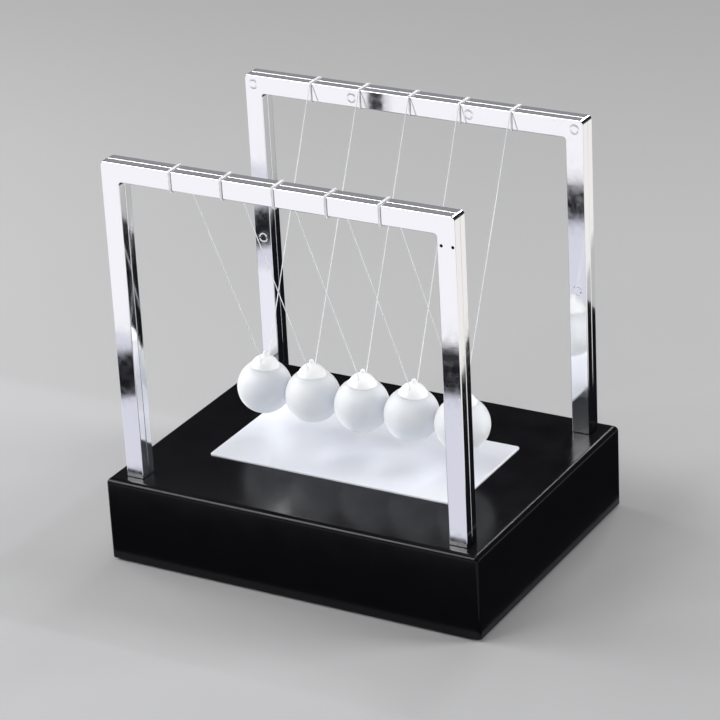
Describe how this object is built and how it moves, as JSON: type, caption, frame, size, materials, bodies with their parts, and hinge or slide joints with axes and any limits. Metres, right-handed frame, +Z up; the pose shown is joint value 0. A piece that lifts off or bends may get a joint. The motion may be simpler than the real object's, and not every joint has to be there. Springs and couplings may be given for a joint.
{
  "type": "newtons cradle",
  "caption": "Desk newton's cradle: frosted balls on V-shaped lines between two chrome arches, over a black box base with a white light plate set into its top.",
  "frame": {"origin": "middle of the footprint, on the surface that the rubber feet stand on", "axes": "+X along the row of balls, +Y from the front frame to the rear frame, +Z up"},
  "size_m": [0.18, 0.1356, 0.1848],
  "materials": {
    "black_gloss": "glossy black moulded ABS",
    "black_satin": "satin black moulded ABS",
    "white_diffuser": "white translucent acrylic, satin gloss",
    "chrome_plating": "bright chrome plating on moulded plastic",
    "frosted_ball": "frosted translucent white acrylic",
    "white_cap": "opaque white moulded plastic, satin",
    "nylon_line": "thin clear nylon line",
    "rubber": "matt black rubber",
    "zinc_steel": "zinc-plated steel",
    "nickel_contact": "nickel-plated spring steel",
    "board_green": "green circuit board",
    "led_clear": "clear epoxy",
    "cell_jacket": "plain printed cell jacket",
    "red_insulation": "red wire insulation",
    "black_insulation": "black wire insulation"
  },
  "bodies": {
    "stand": {"base_housing": "black_gloss", "bottom_cover": "black_satin", "light_diffuser": "white_diffuser", "front_frame_outer_half": "chrome_plating", "front_frame_inner_half": "chrome_plating", "rear_frame_inner_half": "chrome_plating", "rear_frame_outer_half": "chrome_plating", "line_wrap_front_1": "nylon_line", "line_wrap_front_2": "nylon_line", "line_wrap_front_3": "nylon_line", "line_wrap_front_4": "nylon_line", "line_wrap_front_5": "nylon_line", "line_wrap_rear_1": "nylon_line", "line_wrap_rear_2": "nylon_line", "line_wrap_rear_3": "nylon_line", "line_wrap_rear_4": "nylon_line", "line_wrap_rear_5": "nylon_line", "rubber_foot_1": "rubber", "rubber_foot_2": "rubber", "rubber_foot_3": "rubber", "rubber_foot_4": "rubber", "cover_screw_1": "zinc_steel", "cover_screw_2": "zinc_steel", "cover_screw_3": "zinc_steel", "cover_screw_4": "zinc_steel", "leg_screw_1": "zinc_steel", "leg_screw_2": "zinc_steel", "leg_screw_3": "zinc_steel", "leg_screw_4": "zinc_steel", "switch_body": "zinc_steel", "contact_positive": "nickel_contact", "contact_bridge_right": "nickel_contact", "contact_bridge_left": "nickel_contact", "contact_negative": "nickel_contact", "light_board": "board_green", "led_1": "led_clear", "led_2": "led_clear", "battery_1": "cell_jacket", "battery_2": "cell_jacket", "battery_3": "cell_jacket", "wire_battery_to_switch": "red_insulation", "wire_switch_to_board": "red_insulation", "wire_battery_to_board": "black_insulation"},
    "ball_unit_1": {"ball_1": "frosted_ball", "ball_cap_1": "white_cap", "suspension_line_1": "nylon_line"},
    "ball_unit_2": {"ball_2": "frosted_ball", "ball_cap_2": "white_cap", "suspension_line_2": "nylon_line"},
    "ball_unit_3": {"ball_3": "frosted_ball", "ball_cap_3": "white_cap", "suspension_line_3": "nylon_line"},
    "ball_unit_4": {"ball_4": "frosted_ball", "ball_cap_4": "white_cap", "suspension_line_4": "nylon_line"},
    "ball_unit_5": {"ball_5": "frosted_ball", "ball_cap_5": "white_cap", "suspension_line_5": "nylon_line"},
    "switch_knob": {"switch_slider": "black_satin"},
    "door": {"battery_door": "black_satin"}
  },
  "joints": [
    {"name": "ball_1_swing", "type": "hinge", "parent": "stand", "child": "ball_unit_1", "pos_m": [-0.0488, 0, 0.1842], "axis": [0, 1, 0], "range_deg": [0, 90]},
    {"name": "ball_2_swing", "type": "hinge", "parent": "stand", "child": "ball_unit_2", "pos_m": [-0.0244, 0, 0.1842], "axis": [0, 1, 0], "range_deg": [-0.04, 0.04]},
    {"name": "ball_3_swing", "type": "hinge", "parent": "stand", "child": "ball_unit_3", "pos_m": [0, 0, 0.1842], "axis": [0, 1, 0], "range_deg": [-0.04, 0.04]},
    {"name": "ball_4_swing", "type": "hinge", "parent": "stand", "child": "ball_unit_4", "pos_m": [0.0244, 0, 0.1842], "axis": [0, 1, 0], "range_deg": [-0.04, 0.04]},
    {"name": "ball_5_swing", "type": "hinge", "parent": "stand", "child": "ball_unit_5", "pos_m": [0.0488, 0, 0.1842], "axis": [0, 1, 0], "range_deg": [-90, 0]},
    {"name": "switch_slide", "type": "slide", "parent": "stand", "child": "switch_knob", "axis": [1, 0, 0], "range_m": [0, 0.003]},
    {"name": "battery_door_release", "type": "slide", "parent": "stand", "child": "door", "axis": [0, 0, -1], "range_m": [0, 0.02]}
  ]
}
